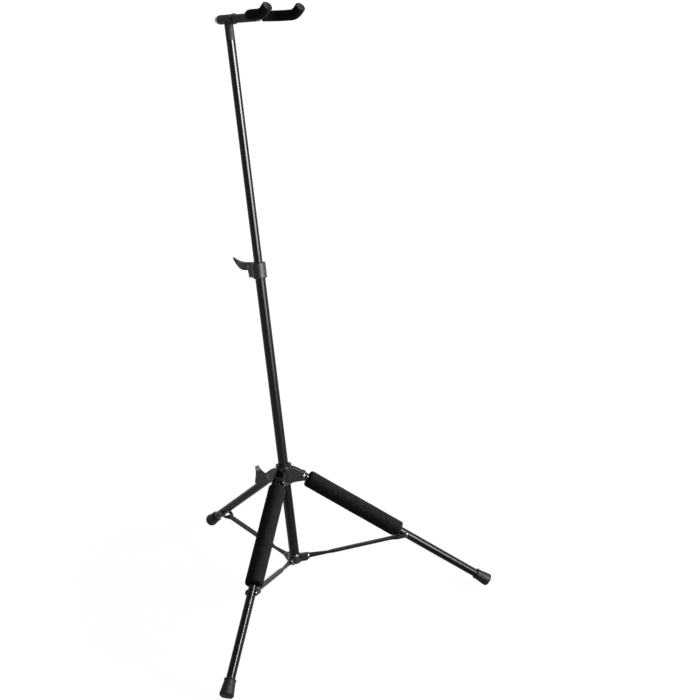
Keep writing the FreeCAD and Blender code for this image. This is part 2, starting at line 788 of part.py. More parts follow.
def hub_lever():
    cam = HUB_LEVER_CAM
    far = HUB_LEVER_LENGTH
    lift = HUB_LEVER_LIFT
    under = LEG_RADIUS + FREE_GAP
    top = under + HUB_LEVER_WEB
    reach = math.sqrt(cam**2 - top**2)
    cheek = 0.6 * LEG_RADIUS
    body = plate(
        -LEVER_HALF_WIDTH,
        LEVER_HALF_WIDTH,
        (-reach, -top),
        ((-cam, 0), (-reach, top)),
        (0.58 * far, top),
        ((0.71 * far, top + 0.28 * (lift - top)), (0.755 * far, lift - LEVER_TIP)),
        ((0.78 * far, lift), (0.81 * far, lift - LEVER_TIP)),
        ((0.85 * far, 0.55 * lift), (far, under + LEVER_TIP)),
        (far, -0.2 * cheek),
        (0.3 * far, -cheek),
        (0, -top),
    )
    knuckle = math.hypot(LEG_HEEL, LEG_RADIUS) + FREE_GAP
    hollow = [
        cross_rod(knuckle, under),
        block(0, 2 * far, under, -2 * cam, under),
        block(-2 * cam, 2 * far, under, -2 * cam, 0),
        cross_rod(HUB_RIVET_RADIUS + RUN_FIT, 2 * LEVER_HALF_WIDTH),
    ]
    base = top + HUB_LEVER_SHOULDER
    crest = lift + LEVER_TIP
    front = Part.makePolygon(
        [
            V(-2 * cam, -LEVER_HALF_WIDTH, -2 * cam),
            V(-2 * cam, LEVER_HALF_WIDTH, -2 * cam),
            V(-2 * cam, LEVER_HALF_WIDTH, base),
            V(-2 * cam, HUB_LEVER_TAIL_WIDTH / 2, crest),
            V(-2 * cam, -HUB_LEVER_TAIL_WIDTH / 2, crest),
            V(-2 * cam, -LEVER_HALF_WIDTH, base),
            V(-2 * cam, -LEVER_HALF_WIDTH, -2 * cam),
        ]
    )
    body = body.common(Part.Face(front).extrude(ALONG * (2 * cam + 2 * far)))
    return put(body.cut(hollow), REAR.leg)


def leg_tube(limb):
    tube = pipe(LEG_TUBE_OD, TUBE_WALL, -LEG_HEEL, limb.length - FOOT_FLOOR)
    holes = [
        cross_rod(HUB_RIVET_RADIUS + RUN_FIT, LEG_TUBE_OD),
        cross_rod(STRUT_RIVET_RADIUS + SET_FIT, LEG_TUBE_OD, limb.pin_reach),
    ]
    return put(tube.cut(holes), limb.leg)


def foot(limb):
    end = limb.length
    top = end - FOOT_LENGTH
    bore = LEG_RADIUS + SET_FIT
    floor = end - FOOT_FLOOR + SET_FIT
    round_in = 0.3 * FOOT_ROUND
    return put(
        turned(
            (top, bore),
            (top, FOOT_LIP_RADIUS - EDGE),
            ((top + 0.5 * EDGE, FOOT_LIP_RADIUS - 0.2 * EDGE), (top + FOOT_LIP / 2, FOOT_LIP_RADIUS)),
            (top + FOOT_LIP, FOOT_WAIST_RADIUS),
            (end - FOOT_ROUND, FOOT_END_RADIUS),
            ((end - round_in, FOOT_END_RADIUS - round_in), (end, FOOT_END_RADIUS - FOOT_ROUND)),
            (end + EDGE, 0),
            (floor, 0),
            (floor, bore),
        ),
        limb.leg,
    )


def leg_foam(limb):
    stop = limb.pin_reach - LEG_FOAM_STOP
    bore = LEG_RADIUS + SET_FIT
    edge = FOAM_EDGE
    sleeve = turned(
        (LEG_FOAM_START, bore),
        (LEG_FOAM_START, LEG_FOAM_RADIUS - edge),
        (LEG_FOAM_START + edge, LEG_FOAM_RADIUS),
        (stop, LEG_FOAM_RADIUS),
        (stop, bore),
    )
    room = 2 * LEG_FOAM_RADIUS
    scarf = block(-2 * room, 2 * room, room, -4 * room, STRUT_DEPTH / 2 + 2 * FREE_GAP)
    return put(sleeve, limb.leg).cut(put(scarf, limb.strut))


def strut(limb):
    span = limb.strut_length
    rim = STRUT_DEPTH / 2
    half = STRUT_WIDTH / 2
    thin = STRUT_TONGUE / 2
    flare = STRUT_FORK + STRUT_EASE
    pinch = span - STRUT_TONGUE_LENGTH
    outer = waisted(
        [
            (-rim, STRUT_ARM_OUTSIDE),
            (STRUT_FORK - 2 * STRUT_ARM, STRUT_ARM_OUTSIDE),
            (flare, half),
            (pinch - STRUT_EASE, half),
            (pinch, thin),
            (span + rim, thin),
        ],
        -rim,
        rim,
    )
    channel = waisted(
        [
            (-2 * rim, STRUT_ARM_INSIDE),
            (STRUT_FORK - 2 * STRUT_ARM, STRUT_ARM_INSIDE),
            (flare - STRUT_SHEET, half - STRUT_SHEET),
            (pinch - STRUT_EASE, half - STRUT_SHEET),
            (pinch - STRUT_EASE / 3, thin / 2),
        ],
        -2 * rim,
        STRUT_WEB_TOP - STRUT_SHEET,
    )
    slot = block(-2 * rim, STRUT_FORK, STRUT_ARM_INSIDE, -2 * rim, 2 * rim)
    ends = plate(
        -STRUT_ARM_OUTSIDE,
        STRUT_ARM_OUTSIDE,
        (0, -rim),
        (span, -rim),
        ((span + rim, 0), (span, rim)),
        (span - rim, rim),
        (pinch, STRUT_WEB_TOP),
        (STRUT_FORK, STRUT_WEB_TOP),
        (rim, rim),
        (0, rim),
        ((-rim, 0), (0, -rim)),
    )
    leg_hole = cross_rod(STRUT_RIVET_RADIUS + RUN_FIT, 2 * STRUT_ARM_OUTSIDE)
    collar_hole = cross_rod(COLLAR_RIVET_RADIUS, 2 * STRUT_ARM_OUTSIDE, span)
    bar = outer.cut([channel, slot, leg_hole, collar_hole]).common(ends)
    return put(bar, limb.strut)


def strut_pin(limb):
    return put(rivet(STRUT_RIVET_RADIUS, STRUT_ARM_OUTSIDE + RUN_FIT), limb.strut)


def build():
    """Every piece by name, in the mast's frame."""
    nodes = {
        "lower_mast_tube": lower_mast_tube(),
        "mast_bottom_plug": mast_bottom_plug(),
        "strut_collar": strut_collar(),
        "strut_collar_rivets": strut_collar_rivets(),
        "collar_cross_pin": collar_cross_pin(),
        "clamp_collar": clamp_collar(),
        "clamp_shoe": clamp_shoe(),
        "clamp_lever_pin": clamp_lever_pin(),
        "clamp_lever": clamp_lever(),
        "upper_mast_tube": upper_mast_tube(),
        "upper_tube_guide": upper_tube_guide(),
        "head_tee": head_tee(),
        "head_cross_pin": head_cross_pin(),
        "swivel_bolt": swivel_bolt(),
        "swivel_washer": swivel_washer(),
        "swivel_nut": swivel_nut(),
        "nut_washer": nut_washer(),
        "yoke_arm": yoke_arm(),
        "yoke_fork": yoke_fork(),
        "yoke_foam_left": put(mirrored(yoke_foam()), YOKE),
        "yoke_foam_right": put(yoke_foam(), YOKE),
        "hub_body": hub_body(),
        "hub_bush": hub_bush(),
        "hub_shoe": hub_shoe(),
        "leg_hinge_rivets": leg_hinge_rivets(),
        "hub_lever": hub_lever(),
    }
    for name, limb in LIMBS.items():
        nodes["leg_" + name] = leg_tube(limb)
        nodes["foot_" + name] = foot(limb)
        nodes["strut_" + name] = strut(limb)
        nodes["strut_pin_" + name] = strut_pin(limb)
        if limb is not REAR:
            nodes["leg_foam_" + name] = leg_foam(limb)
    return nodes


def lean():
    """How far the mast leans back for the three feet to stand on one floor."""
    front = LIMBS["front_left"].end
    rear = REAR.end
    return math.degrees(math.atan2(rear.z - front.z, rear.y - front.y))


def stance():
    """Placement that stands the mast's frame on the floor, centred front to back."""
    turn = FreeCAD.Rotation(ALONG, -lean())
    front = turn.multVec(LIMBS["front_left"].end)
    rear = turn.multVec(REAR.end)
    return FreeCAD.Placement(V(0, -(front.y + rear.y) / 2, SOLE_HEIGHT - rear.z), turn)


def stand():
    """Every piece by name, stood on the floor and centred over the origin."""
    place = stance()
    room = 2 * (FRONT_LEG_LENGTH + REAR_LEG_LENGTH)
    floor = Part.makeBox(room, room, room, V(-room / 2, -room / 2, -room))
    nodes = {}
    for name, shape in build().items():
        nodes[name] = put(shape, place)
        if name.startswith("foot_"):
            nodes[name] = nodes[name].cut(floor)
    whole = Part.makeCompound(list(nodes.values())).optimalBoundingBox(False)
    shift = FreeCAD.Placement(V(0, -whole.Center.y, 0), FreeCAD.Rotation())
    return {name: put(shape, shift) for name, shape in nodes.items()}, shift.multiply(place)


if __name__ == "__main__":
    os.makedirs("parts", exist_ok=True)
    PIECES, _ = stand()
    for NODE, SHAPE in PIECES.items():
        SHAPE.exportStep(f"parts/{NODE}.step")
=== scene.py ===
# %% [markdown]
# # A folding guitar stand in black
# The stand holds a guitar by its neck. A leaning mast stands on three folding legs, and a
# padded yoke at the top swivels to suit the guitar. Nearly every piece is black, so this
# lesson is about telling blacks apart: glossy paint, matte foam, satin plastic and rubber.
# The rigid pieces arrive as a ready frame. We keep their shapes apart from a thin rounding
# of the corners, give each one a finish, and model the soft foam ourselves.

# %% Load the frame
import json
import math

import bmesh
import bpy
import numpy as np
from mathutils import Matrix, Vector, noise


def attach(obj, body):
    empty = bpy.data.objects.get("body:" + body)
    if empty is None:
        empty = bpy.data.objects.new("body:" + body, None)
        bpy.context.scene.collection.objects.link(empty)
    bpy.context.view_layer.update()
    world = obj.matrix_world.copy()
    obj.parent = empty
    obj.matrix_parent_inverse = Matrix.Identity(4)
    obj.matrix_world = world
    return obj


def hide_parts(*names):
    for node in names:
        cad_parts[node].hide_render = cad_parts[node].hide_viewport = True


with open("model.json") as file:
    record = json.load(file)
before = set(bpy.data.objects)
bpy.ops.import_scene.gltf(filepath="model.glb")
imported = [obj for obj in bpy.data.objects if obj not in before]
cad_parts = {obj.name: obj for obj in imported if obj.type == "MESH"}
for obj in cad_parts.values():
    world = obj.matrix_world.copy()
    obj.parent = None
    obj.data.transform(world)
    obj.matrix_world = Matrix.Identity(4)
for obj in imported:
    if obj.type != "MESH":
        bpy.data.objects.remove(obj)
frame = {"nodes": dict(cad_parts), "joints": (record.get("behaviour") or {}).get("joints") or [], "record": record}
nodes = frame["nodes"]
joints = {joint["name"]: joint for joint in frame["joints"]}
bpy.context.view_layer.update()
MM = 0.001
print("pieces in the frame:", len(nodes))

# %% [markdown]
# ## The camera
# A camera is a place, a direction and a lens. The photograph was taken from the front left
# and from above, with a slight roll. We turn the camera about the vertical axis, tip it
# down and roll it, which is easier to adjust than a full matrix. The lens and the small
# shift come from the focal length and the centre of the view, counted in the picture's own
# pixels.

# %% Set up the camera
PICTURE_SIZE = 700
FOCAL_PIXELS = 1195.9
VIEW_CENTRE_PIXELS = (348.3, 362.2)
SENSOR_WIDTH_MM = 36.0
CAMERA_PLACE = Vector((-1.3225, -1.6792, 1.3064))
CAMERA_TURN = math.radians(-41.12)
CAMERA_TIP = math.radians(21.21)
CAMERA_ROLL = math.radians(3.155)


def put_in_scene(name, data):
    """New object that shows this data, linked to the scene."""
    item = bpy.data.objects.new(name, data)
    bpy.context.scene.collection.objects.link(item)
    return item


camera_data = bpy.data.cameras.new("portrait_camera")
camera_data.sensor_width = SENSOR_WIDTH_MM
camera_data.lens = SENSOR_WIDTH_MM * FOCAL_PIXELS / PICTURE_SIZE
camera_data.shift_x = (PICTURE_SIZE / 2 - VIEW_CENTRE_PIXELS[0]) / PICTURE_SIZE
camera_data.shift_y = (VIEW_CENTRE_PIXELS[1] - PICTURE_SIZE / 2) / PICTURE_SIZE
camera = put_in_scene("portrait_camera", camera_data)
turn = Matrix.Rotation(CAMERA_TURN, 4, "Z")
tip = Matrix.Rotation(math.pi / 2 - CAMERA_TIP, 4, "X")
roll = Matrix.Rotation(CAMERA_ROLL, 4, "Z")
camera.matrix_world = Matrix.Translation(CAMERA_PLACE) @ turn @ tip @ roll
bpy.context.scene.camera = camera
print("lens, mm:", round(camera_data.lens, 1))

# %% [markdown]
# ## The floor
# The background of the photograph is plain white. Turning the lamps up until the floor
# burns out would also burn out the stand, so the white is given to what the camera and
# the reflections see, and the light that falls on the stand stays at an ordinary level.
# The Light Path node tells these kinds of ray apart. A small share of true shading is
# left in the floor round the feet, so that they keep a soft shadow and don't seem to
# float. That share fades with distance, and the floor runs into the white of the sky.

# %% Lay the floor
FLOOR_HALF_SIZE = 30.0
FLOOR_GREY = 0.35
FLOOR_SHADOW_SHARE = 0.08
FLOOR_WHITE = 1.07
FLOOR_SHADOW_REACH = (0.35, 0.95)


def seen_directly(tree):
    """Socket that is 1 for the camera's rays and for rays in reflections or glass."""
    path = tree.nodes.new("ShaderNodeLightPath")
    seen = path.outputs["Is Camera Ray"]
    for kind in ("Is Glossy Ray", "Is Transmission Ray"):
        either = tree.nodes.new("ShaderNodeMath")
        either.operation = "MAXIMUM"
        tree.links.new(seen, either.inputs[0])
        tree.links.new(path.outputs[kind], either.inputs[1])
        seen = either.outputs[0]
    return seen


def paper_floor():
    """Pale floor whose own shading is mixed with plain white where it is looked at."""
    material = bpy.data.materials.new("paper_floor")
    material.use_nodes = True
    tree = material.node_tree
    tree.nodes.clear()
    output = tree.nodes.new("ShaderNodeOutputMaterial")
    shaded = tree.nodes.new("ShaderNodeBsdfDiffuse")
    shaded.inputs["Color"].default_value = (FLOOR_GREY, FLOOR_GREY, FLOOR_GREY, 1)
    white = tree.nodes.new("ShaderNodeEmission")
    white.inputs["Strength"].default_value = FLOOR_WHITE
    place = tree.nodes.new("ShaderNodeTexCoord")
    reach = tree.nodes.new("ShaderNodeVectorMath")
    reach.operation = "LENGTH"
    fade = tree.nodes.new("ShaderNodeMapRange")
    fade.interpolation_type = "SMOOTHSTEP"
    fade.inputs["From Min"].default_value = FLOOR_SHADOW_REACH[0]
    fade.inputs["From Max"].default_value = FLOOR_SHADOW_REACH[1]
    fade.inputs["To Min"].default_value = 1 - FLOOR_SHADOW_SHARE
    fade.inputs["To Max"].default_value = 1.0
    share = tree.nodes.new("ShaderNodeMath")
    share.operation = "MULTIPLY"
    mix = tree.nodes.new("ShaderNodeMixShader")
    tree.links.new(place.outputs["Object"], reach.inputs[0])
    tree.links.new(reach.outputs["Value"], fade.inputs["Value"])
    tree.links.new(fade.outputs["Result"], share.inputs[1])
    tree.links.new(seen_directly(tree), share.inputs[0])
    tree.links.new(share.outputs[0], mix.inputs["Fac"])
    tree.links.new(shaded.outputs[0], mix.inputs[1])
    tree.links.new(white.outputs[0], mix.inputs[2])
    tree.links.new(mix.outputs[0], output.inputs["Surface"])
    return material


floor_mesh = bpy.data.meshes.new("floor")
corners = [(-1, -1), (1, -1), (1, 1), (-1, 1)]
floor_points = [(FLOOR_HALF_SIZE * x, FLOOR_HALF_SIZE * y, 0) for x, y in corners]
floor_mesh.from_pydata(floor_points, [], [(0, 1, 2, 3)])
floor_mesh.materials.append(paper_floor())
floor = put_in_scene("floor", floor_mesh)
print("floor half size, m:", FLOOR_HALF_SIZE)

# %% [markdown]
# ## The sky
# To the camera and in reflections the world is the same white as the floor. On the stand
# it sheds only a faint light from all round, so the sides that no lamp reaches aren't quite
# black. The Standard view shows each colour as it is written.

# %% Set the sky
SKY_LIGHT = 0.04

world = bpy.data.worlds.new("white_studio")
world.use_nodes = True
bpy.context.scene.world = world
sky = world.node_tree.nodes["Background"]
sky.inputs["Color"].default_value = (1, 1, 1, 1)
strength = world.node_tree.nodes.new("ShaderNodeMapRange")
strength.inputs["To Min"].default_value = SKY_LIGHT
strength.inputs["To Max"].default_value = 1.0
world.node_tree.links.new(seen_directly(world.node_tree), strength.inputs["Value"])
world.node_tree.links.new(strength.outputs[0], sky.inputs["Strength"])
bpy.context.scene.view_settings.view_transform = "Standard"
print("light from the sky:", SKY_LIGHT)

# %% [markdown]
# ## Lamps
# Black gloss is drawn by its reflections. In the photograph each tube carries one light
# stripe on the third that faces the right. It is brightest near the top of the mast and
# fades downwards, so the stripe comes from a ladder of wide panels in front of the stand and
# to the right of the camera, each dimmer than the one above. The panels are hidden from
# diffuse rays: they are there to be reflected. The near leg slopes towards the camera and
# mirrors a spot high above the ladder, so one more panel hangs there. A key lamp on the
# right, no higher than the mast, lights the matte foam from the side: most of each sleeve
# stays dark, its right edge lifts, and the top of the yoke stays black. The key lamp and a
# weak fill on the left are hidden from reflections, or each tube would show more stripes.

# %% Hang the lamps
LAMP_TARGET = Vector((0, 0.05, 0.62))
PANEL_PLACE = (0.35, -2.0)
PANEL_WIDTH = 1.5
PANEL_HEIGHT = 0.26
PANEL_BOTTOM = 0.24
PANEL_LEVELS = (1.5, 7.0, 15.0, 40.0, 60.0, 76.0, 92.0, 105.0)
HIGH_PANEL_PLACE = Vector((0.95, -1.37, 2.3))
HIGH_PANEL_SIZE = 0.5
HIGH_PANEL_LEVEL = 190.0
SIDE_LAMP_SIZE = 0.9
KEY_PLACE = Vector((2.1, -1.2, 0.95))
KEY_WATTS = 100.0
FILL_PLACE = Vector((-2.4, 0.2, 1.4))
FILL_WATTS = 2.0


def soft_lamp(name, place, width, height, watts):
    """Rectangular lamp that faces the middle of the stand."""
    data = bpy.data.lights.new(name, "AREA")
    data.shape = "RECTANGLE"
    data.size = width
    data.size_y = height
    data.energy = watts
    lamp = put_in_scene(name, data)
    lamp.location = place
    lamp.rotation_euler = (LAMP_TARGET - lamp.location).to_track_quat("-Z", "Y").to_euler()
    lamp.visible_camera = False
    print(name, "watts:", round(watts))
    return lamp


for step, brightness in enumerate(PANEL_LEVELS):
    panel_middle = Vector((*PANEL_PLACE, PANEL_BOTTOM + (step + 0.5) * PANEL_HEIGHT))
    panel_watts = brightness * math.pi * PANEL_WIDTH * PANEL_HEIGHT
    panel = soft_lamp(f"panel_{step}", panel_middle, PANEL_WIDTH, PANEL_HEIGHT, panel_watts)
    panel.rotation_euler = (math.pi / 2, 0, 0)
    panel.visible_diffuse = False
high_watts = HIGH_PANEL_LEVEL * math.pi * HIGH_PANEL_SIZE**2
high_panel = soft_lamp("high_panel", HIGH_PANEL_PLACE, HIGH_PANEL_SIZE, HIGH_PANEL_SIZE, high_watts)
high_panel.visible_diffuse = False
side_lamps = (("key_lamp", KEY_PLACE, KEY_WATTS), ("left_fill", FILL_PLACE, FILL_WATTS))
for name, place, lamp_watts in side_lamps:
    side_lamp = soft_lamp(name, place, SIDE_LAMP_SIZE, SIDE_LAMP_SIZE, lamp_watts)
    side_lamp.visible_glossy = False

# %% [markdown]
# ## Small tools for finishes
# Each finish is a Principled shader with noise textures on its colour, roughness and
# bump. The textures use object coordinates, which are metres here, so a noise scale of
# 500 gives grain about two millimetres across. These short helpers keep the finishes
# readable: one makes a noise, one stretches it to a range, one mixes two greys by it, one
# turns it into bumps, and one finds the corners, for rubbed paint and a painted highlight.

# %% Tools for building a finish
CORNER_AGREEMENT = 0.75
FLAT_AGREEMENT = 0.98


class Finish:
    """A material being built: its node tree, its shader and its coordinates."""

    def __init__(self, name):
        self.material = bpy.data.materials.new(name)
        self.material.use_nodes = True
        self.tree = self.material.node_tree
        self.shader = self.tree.nodes["Principled BSDF"]
        self.place = self.tree.nodes.new("ShaderNodeTexCoord").outputs["Object"]

    def link(self, source, target):
        """Lead one socket into another."""
        self.tree.links.new(source, target)

    def noise(self, scale, detail=2.0):
        """Grey noise, about 1 / scale metres from lump to lump."""
        node = self.tree.nodes.new("ShaderNodeTexNoise")
        node.inputs["Scale"].default_value = scale
        node.inputs["Detail"].default_value = detail
        self.link(self.place, node.inputs["Vector"])
        return node.outputs[0]

    def cells(self, scale):
        """Distance to the nearest of scattered points: round pores or grains."""
        node = self.tree.nodes.new("ShaderNodeTexVoronoi")
        node.inputs["Scale"].default_value = scale
        self.link(self.place, node.inputs["Vector"])
        return node.outputs["Distance"]

    def stretch(self, value, low, high, start=0.3, end=0.7):
        """Value mapped from start..end, where most noise lies, to low..high."""
        node = self.tree.nodes.new("ShaderNodeMapRange")
        node.inputs["From Min"].default_value = start
        node.inputs["From Max"].default_value = end
        node.inputs["To Min"].default_value = low
        node.inputs["To Max"].default_value = high
        self.link(value, node.inputs["Value"])
        return node.outputs["Result"]

    def mix(self, share, first, second):
        """Colour that runs from first to second with share. Each is a grey or a socket."""
        node = self.tree.nodes.new("ShaderNodeMix")
        node.data_type = "RGBA"
        sockets = {socket.identifier: socket for socket in (*node.inputs, *node.outputs)}
        for name, colour in (("A_Color", first), ("B_Color", second)):
            if isinstance(colour, bpy.types.NodeSocket):
                self.link(colour, sockets[name])
            else:
                sockets[name].default_value = (colour, colour, colour, 1)
        self.link(share, sockets["Factor_Float"])
        return sockets["Result_Color"]

    def clouds(self, scale, dark, light, detail):
        """Colour that drifts between two greys in patches."""
        return self.mix(self.stretch(self.noise(scale, detail), 0.0, 1.0), dark, light)

    def bump(self, height, depth, below=None):
        """Bumps of the given depth in metres, laid over earlier ones."""
        node = self.tree.nodes.new("ShaderNodeBump")
        node.inputs["Distance"].default_value = depth
        self.link(height, node.inputs["Height"])
        if below:
            self.link(below, node.inputs["Normal"])
        return node.outputs["Normal"]

    def corners(self, radius):
        """1 on the corners of a piece and 0 on its flat faces."""
        rounded = self.tree.nodes.new("ShaderNodeBevel")
        rounded.inputs["Radius"].default_value = radius
        true = self.tree.nodes.new("ShaderNodeNewGeometry")
        agreement = self.tree.nodes.new("ShaderNodeVectorMath")
        agreement.operation = "DOT_PRODUCT"
        self.link(rounded.outputs["Normal"], agreement.inputs[0])
        self.link(true.outputs["Normal"], agreement.inputs[1])
        return self.stretch(agreement.outputs["Value"], 1.0, 0.0, CORNER_AGREEMENT, FLAT_AGREEMENT)

    def done(self, colour, roughness, skin, **values):
        """The material, with its textures linked and plain numbers set by socket name."""
        inputs = self.shader.inputs
        self.link(colour, inputs["Base Color"])
        self.link(roughness, inputs["Roughness"])
        self.link(skin, inputs["Normal"])
        for name, value in values.items():
            inputs[name.replace("_", " ")].default_value = value
        return self.material


print("finish tools ready")

# %% [markdown]
# ## Painted metal
# The tubes are steel with a thick gloss paint. Such paint is never quite flat: it has a
# faint orange peel a couple of millimetres across and patches that are a little duller.
# The struts and the hub wear the same paint, more satin, with corners painted a little
# lighter, partly as rubbed paint and partly as a painted highlight. The cast head is
# coarser still. Each texture's scale is a count of lumps to the metre.

# %% Mix the paints
PAINT_PATCHES = 38.0
PAINT_DULLING = 90.0
PAINT_PEEL = 520.0
# how far the lighter corners reach: rubbed paint and a painted highlight
RUB_AND_HIGHLIGHT_RADIUS = 0.7 * MM


def paint(name, dark, light, gloss, peel, shine, corner_rub_and_highlight=0.0):
    """Black paint on metal. gloss is a roughness range, and the last grey lightens the corners as rubbed paint and
    a painted highlight.
    """
    finish = Finish(name)
    colour = finish.clouds(PAINT_PATCHES, dark, light, detail=4.0)
    # corners painted lighter: partly rubbed paint, partly a painted highlight
    if corner_rub_and_highlight:
        colour = finish.mix(finish.corners(RUB_AND_HIGHLIGHT_RADIUS), colour, corner_rub_and_highlight)
    roughness = finish.stretch(finish.noise(PAINT_DULLING, detail=3.0), *gloss)
    skin = finish.bump(finish.noise(PAINT_PEEL), peel)
    return finish.done(colour, roughness, skin, Specular_IOR_Level=shine)


tube_black = paint("tube_black", 0.004, 0.007, (0.13, 0.19), 0.002 * MM, shine=0.15)
leg_black = paint("leg_black", 0.010, 0.015, (0.14, 0.20), 0.002 * MM, shine=0.08)
# the struts, the hub and the cast head get corners painted lighter, as rubbed paint and a painted highlight
strut_black = paint("strut_black", 0.006, 0.010, (0.32, 0.42), 0.006 * MM, shine=0.15, corner_rub_and_highlight=0.03)
hub_black = paint("hub_black", 0.006, 0.010, (0.24, 0.34), 0.006 * MM, shine=0.26, corner_rub_and_highlight=0.03)
cast_grey = paint("cast_grey", 0.016, 0.024, (0.58, 0.68), 0.01 * MM, shine=0.14, corner_rub_and_highlight=0.05)
print("paints:", tube_black.name, leg_black.name, strut_black.name, hub_black.name, cast_grey.name)

# %% [markdown]
# ## Plastic, rubber and plated steel
# Moulded plastic has a fine spark-eroded grain, rubber is duller and picks up dust, and
# the rivets are plated, so they reflect like dark mirrors with a few scuffs.

# %% Mix the other hard finishes
PLASTIC_CLOUDS = 55.0
PLASTIC_DULLING = 140.0
PLASTIC_GRAIN = 1500.0
PLASTIC_RIPPLE = 160.0
STEEL_TARNISH = 300.0
STEEL_SCUFFS = 700.0
STEEL_WAVES = 900.0
STEEL_WAVE_DEPTH = 0.01 * MM
TARNISHED_SHARE = 0.8


def moulding(name, dark, light, gloss, grain, shine):
    """Moulded plastic or rubber with a fine even grain."""
    finish = Finish(name)
    colour = finish.clouds(PLASTIC_CLOUDS, dark, light, detail=5.0)
    roughness = finish.stretch(finish.noise(PLASTIC_DULLING), *gloss)
    texture = finish.bump(finish.noise(PLASTIC_GRAIN, detail=1.0), grain)
    skin = finish.bump(finish.noise(PLASTIC_RIPPLE), 2 * grain, texture)
    return finish.done(colour, roughness, skin, Specular_IOR_Level=shine)


def plating(name, tone, gloss):
    """Plated steel: a metal with faint scuffs in its polish."""
    finish = Finish(name)
    colour = finish.clouds(STEEL_TARNISH, TARNISHED_SHARE * tone, tone, detail=4.0)
    roughness = finish.stretch(finish.noise(STEEL_SCUFFS, detail=3.0), *gloss)
    skin = finish.bump(finish.noise(STEEL_WAVES), STEEL_WAVE_DEPTH)
    return finish.done(colour, roughness, skin, Metallic=1.0)


clamp_grey = moulding("clamp_grey", 0.024, 0.030, (0.40, 0.48), 0.002 * MM, shine=0.16)
lever_black = moulding("lever_black", 0.006, 0.010, (0.30, 0.40), 0.003 * MM, shine=0.12)
liner_black = moulding("liner_black", 0.004, 0.007, (0.34, 0.46), 0.003 * MM, shine=0.08)
foot_rubber = moulding("foot_rubber", 0.008, 0.013, (0.50, 0.62), 0.006 * MM, shine=0.09)
bright_steel = plating("bright_steel", 0.30, (0.08, 0.16))
rivet_black = plating("rivet_black", 0.05, (0.10, 0.16))
hidden_steel = plating("hidden_steel", 0.06, (0.20, 0.32))
finishes = {
    "tube_black": tube_black,
    "strut_black": strut_black,
    "hub_black": hub_black,
    "cast_grey": cast_grey,
    "clamp_grey": clamp_grey,
    "lever_black": lever_black,
    "liner_black": liner_black,
    "foot_rubber": foot_rubber,
    "bright_steel": bright_steel,
    "rivet_black": rivet_black,
    "hidden_steel": hidden_steel,
}
print("finishes so far:", len(finishes))

# %% [markdown]
# ## Dressing the rigid pieces
# The record that comes with the frame says which finish each piece takes. Four pieces get
# their own: the legs are a little duller than the mast, and the clamp's lever is darker
# than its collar. Here we only swap the material, and the foam waits for its own cells.

# %% Dress the rigid pieces
own_finishes = {
    "leg_front_left": leg_black,
    "leg_front_right": leg_black,
    "leg_rear": leg_black,
    "clamp_lever": lever_black,
}
dressed = 0
for subpart in frame["record"]["subparts"]:
    node = subpart["node"]
    finish = own_finishes.get(node, finishes.get(subpart["material_slot"]))
    if finish:
        mesh = nodes[node].data
        mesh.materials.clear()
        mesh.materials.append(finish)
        dressed += 1
print("rigid pieces dressed:", dressed)

# %% [markdown]
# ## Soft corners
# No moulded or pressed piece has a knife edge. A thin bevel on the sharp corners catches a
# line of light, which is most of what tells one black piece from the next. The meshes come
# in with split corners, so a weld joins them first, and at the end the normals are weighted
# by area, which keeps flat faces flat. All are modifiers: the frame's points stay in place.

# %% Round the sharp corners
CORNER_RADII = {
    "hub_lever": 0.7 * MM,
    "hub_body": 0.7 * MM,
    "strut_collar": 0.6 * MM,
    "clamp_collar": 0.7 * MM,
    "clamp_lever": 0.7 * MM,
    "head_tee": 0.7 * MM,
    "yoke_arm": 0.6 * MM,
    "strut_front_left": 0.4 * MM,
    "strut_front_right": 0.4 * MM,
    "strut_rear": 0.4 * MM,
}
WELD_DISTANCE = 0.002 * MM
CORNER_ANGLE = math.radians(35)
CORNER_STEPS = 2

for node, radius in CORNER_RADII.items():
    weld = nodes[node].modifiers.new("join_corners", "WELD")
    weld.merge_threshold = WELD_DISTANCE
    bevel = nodes[node].modifiers.new("soft_corners", "BEVEL")
    bevel.width = radius
    bevel.segments = CORNER_STEPS
    bevel.limit_method = "ANGLE"
    bevel.angle_limit = CORNER_ANGLE
    nodes[node].modifiers.new("flat_faces", "WEIGHTED_NORMAL").keep_sharp = False
print("pieces with rounded corners:", len(CORNER_RADII))

# %% [markdown]
# ## Foam
# The foam is a dense black rubber sponge with a closed skin. It is matte, its pores are
# well under a millimetre, and it shows slow dents where hands have held it. Where it was
# cut to length the open cells look greyer, so the cut faces get a finish of their own.

# %% Mix the foam finishes
FOAM_PATCHES = 70.0
FOAM_DUST = 260.0
FOAM_PORES = 1400.0
FOAM_LUMPS = 420.0
FOAM_ROUGHNESS = (0.78, 0.92)
FOAM_SHINE = 0.02


def foam(name, dark, light, pores):
    """Matte sponge with fine pores and small lumps. pores is their depth."""
    finish = Finish(name)
    colour = finish.clouds(FOAM_PATCHES, dark, light, detail=5.0)
    roughness = finish.stretch(finish.noise(FOAM_DUST), *FOAM_ROUGHNESS)
    holes = finish.bump(finish.cells(FOAM_PORES), pores)
    skin = finish.bump(finish.noise(FOAM_LUMPS, detail=3.0), 2 * pores, holes)
    return finish.done(colour, roughness, skin, Specular_IOR_Level=FOAM_SHINE)


foam_skin = foam("foam_skin", 0.016, 0.022, 0.03 * MM)
foam_cut = foam("foam_cut", 0.072, 0.12, 0.012 * MM)
print("foam finishes:", foam_skin.name, foam_cut.name)

# %% [markdown]
# ## Finding a leg
# The foam has to follow the tubes that carry it, and each leg slopes in its own direction.
# We don't need to know how the frame was drawn: the points of a long piece lie in a cloud,
# and the direction in which that cloud is longest is the piece's own line. The first row
# of a singular value decomposition gives it.

# %% Find the lines of the front legs


